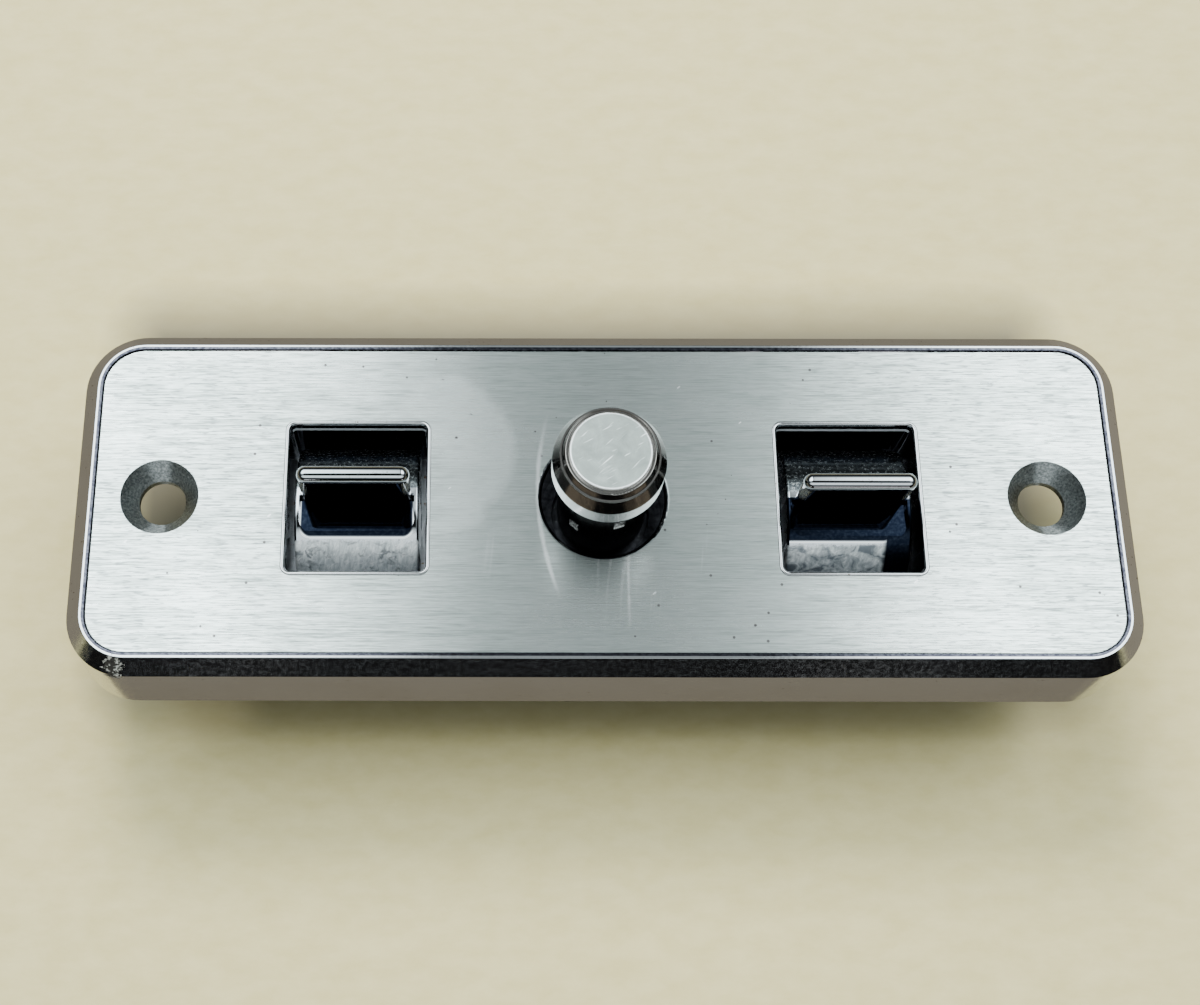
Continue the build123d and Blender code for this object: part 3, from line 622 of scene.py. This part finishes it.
def lining():
    """A small bright lip bent in behind each slot of the sleeve, low and high in turn."""
    bm = bmesh.new()
    for i in range(SLOTS):
        foot = HIGH_FOOT if i % 2 else LOW_FOOT
        add_lip(bm, math.radians(FIRST_SLOT + 360 / SLOTS * i), FACE + foot)
    me = bpy.data.meshes.new("vent_lining")
    bm.to_mesh(me)
    bm.free()
    o = bpy.data.objects.new("vent_lining", me)
    bpy.context.scene.collection.objects.link(o)
    thick = o.modifiers.new("wall", "SOLIDIFY")
    thick.thickness = LIP_WALL
    nickel = metal("nickel_lining", (0.80, 0.80, 0.78), (0.98, 0.98, 0.96), (0.18, 0.32), 1500, 0.5)
    o.data.materials.append(nickel)
    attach(o, "plug_body")


lining()


# ------------------------------------------------------------------ floor
def plane(name, size, at, facing=(0, 0, 1)):
    me = bpy.data.meshes.new(name)
    bm = bmesh.new()
    bmesh.ops.create_grid(bm, x_segments=1, y_segments=1, size=size)
    bm.to_mesh(me)
    bm.free()
    o = bpy.data.objects.new(name, me)
    o.matrix_world = Matrix.Translation(at) @ Vector(facing).to_track_quat("Z", "Y").to_matrix().to_4x4()
    bpy.context.scene.collection.objects.link(o)
    return o


def pale_floor():
    """Yellowish board, with a soft painted shadow under the plate."""
    m = Mat("pale_floor")
    fibre = m.noise(m.scaled((140, 260, 1)), 1.0, 4.0, 0.6)
    x, y, _ = m.split(m.object)
    past_x = m.excess(m.magnitude(x), 86 * MM)
    past_y = m.excess(m.magnitude(m.plus(y, 15 * MM)), 35 * MM)
    # painted shadow: the board darkened in a soft patch under the plate
    under = m.span(m.length(past_x, past_y), 0.0, 14 * MM, 0.90, 0.0)
    board = m.ramp(fibre, (0.3, (0.60, 0.505, 0.235)), (0.7, (0.67, 0.575, 0.295)))
    return m.set(Base_Color=m.mix(under, board, (0.12, 0.105, 0.08)), Roughness=0.85,
                 Normal=m.bump(fibre, 0.15, 0.2 * MM))


floor = plane("floor", 3.0, (0, 0, FLOOR_Z))
floor.data.materials.append(pale_floor())


# ------------------------------------------------------------------ light
ROOM = 0.04                                       # strength of the room below the ceiling
CEILING_MIDDLE, CEILING_SIDES = 0.50, 7.5
NEAR_BAND = 1.7                                   # a low band of light on the near side


def studio_world():
    """A dim room with a pale ceiling: bright left and right, greyer overhead, black above the front."""
    world = bpy.data.worlds.new("studio")
    bpy.context.scene.world = world
    world.use_nodes = True
    w = Nodes(world.node_tree)
    out = w.tree.nodes.new("ShaderNodeOutputWorld")
    back = w.tree.nodes.new("ShaderNodeBackground")
    w.tree.links.new(back.outputs[0], out.inputs[0])
    coord = w.tree.nodes.new("ShaderNodeTexCoord")
    right, far, up = w.split(coord.outputs["Generated"])
    ceiling = w.span(up, 0.60, 0.84)
    sides = w.larger(w.span(right, -0.03, -0.15), w.span(right, 0.17, 0.28))
    sides = w.times(sides, w.span(far, -0.15, 0.05))
    level = w.span(sides, 0, 1, CEILING_MIDDLE, CEILING_SIDES)
    near_band = w.times(w.span(far, -0.45, -0.60), w.span(up, 0.42, 0.52))
    above_front = w.plus(w.times(far, -0.335), w.times(up, 0.942))
    shade = w.times(w.span(above_front, 0.93, 0.965), w.span(far, 0.06, -0.06))
    light = w.plus(ROOM, w.times(ceiling, level))
    light = w.times(light, w.span(shade, 0, 1, 1.0, 0.02))
    w.put(w.plus(light, w.times(near_band, NEAR_BAND)), back.inputs[1])
    back.inputs[0].default_value = (0.87, 0.985, 1.0, 1)


def area(name, at, target, size, power, colour):
    """A rectangular lamp that reflections don't see."""
    data = bpy.data.lights.new(name, "AREA")
    data.shape = "RECTANGLE"
    data.size, data.size_y = size
    data.energy = power
    data.color = colour
    o = bpy.data.objects.new(name, data)
    o.location = at
    o.rotation_mode = "QUATERNION"
    o.rotation_quaternion = (Vector(target) - Vector(at)).to_track_quat("-Z", "Y")
    o.visible_glossy = False
    bpy.context.scene.collection.objects.link(o)


def card(name, at, target, size, strength, colour=WHITE):
    """A studio card that reflections see and the camera doesn't."""
    o = plane(name, 1.0, at, Vector(target) - Vector(at))
    o.scale = (size[0] / 2, size[1] / 2, 1)
    mat = bpy.data.materials.new(name)
    mat.use_nodes = True
    t = mat.node_tree
    t.nodes.clear()
    e = t.nodes.new("ShaderNodeEmission")
    e.inputs[0].default_value = (*colour, 1)
    e.inputs[1].default_value = strength
    out = t.nodes.new("ShaderNodeOutputMaterial")
    t.links.new(e.outputs[0], out.inputs[0])
    o.data.materials.append(mat)
    o.visible_camera = False
    o.visible_shadow = False
    o.visible_diffuse = False
    o.visible_transmission = False


def floor_card(name, x, y, size, strength, colour=WHITE):
    """A card that lies just over the floor, so that the chrome's walls have a dimmer floor to show."""
    card("dim_floor_" + name, (x, y, FLOOR_Z + 1 * MM), (x, y, 1), size, strength, colour)


studio_world()
area("key", (-0.10, 0.34, 0.52), (0, 0, 0), size=(0.22, 0.18), power=4.6, colour=(1.0, 0.98, 0.94))
area("fill", (0.34, 0.16, 0.55), (0, 0, 0), size=(0.35, 0.30), power=0.8, colour=(0.96, 0.98, 1.0))
BEFORE_PLATE = (0, 0, 0.02)
TAN = (1.0, 0.90, 0.68)
card("front_flag", (0, -0.42, 0.06), BEFORE_PLATE, size=(1.4, 0.26), strength=0.012)
floor_card("left", -0.47, 0.0, size=(0.72, 1.7), strength=0.38, colour=TAN)
floor_card("right", 0.47, 0.0, size=(0.72, 1.7), strength=0.44, colour=TAN)
floor_card("far", 0.0, 0.47, size=(0.22, 0.84), strength=0.34, colour=TAN)
floor_card("front", 0.0, -0.10, size=(0.42, 0.125), strength=0.30, colour=TAN)
floor_card("near", 0, -0.30, size=(0.42, 0.26), strength=0.012)
card("front_lamp_left", (-0.115, -0.40, 0.015), BEFORE_PLATE, size=(0.05, 0.05), strength=1.6)
card("front_lamp_right", (0.125, -0.40, 0.015), BEFORE_PLATE, size=(0.07, 0.05), strength=1.8)


# ------------------------------------------------------------------ camera
def place_camera():
    data = bpy.data.cameras.new("camera")
    data.sensor_width = 36.0
    data.lens = 51.02
    data.shift_x, data.shift_y = 0.0917, 0.0079
    data.clip_start = 0.01
    data.clip_end = 20.0
    camera = bpy.data.objects.new("camera", data)
    bpy.context.scene.collection.objects.link(camera)
    camera.location = (-19.14 * MM, -102.07 * MM, 278.21 * MM)
    camera.rotation_euler = (math.radians(19.956), math.radians(0.017), math.radians(0.104))
    bpy.context.scene.camera = camera


place_camera()
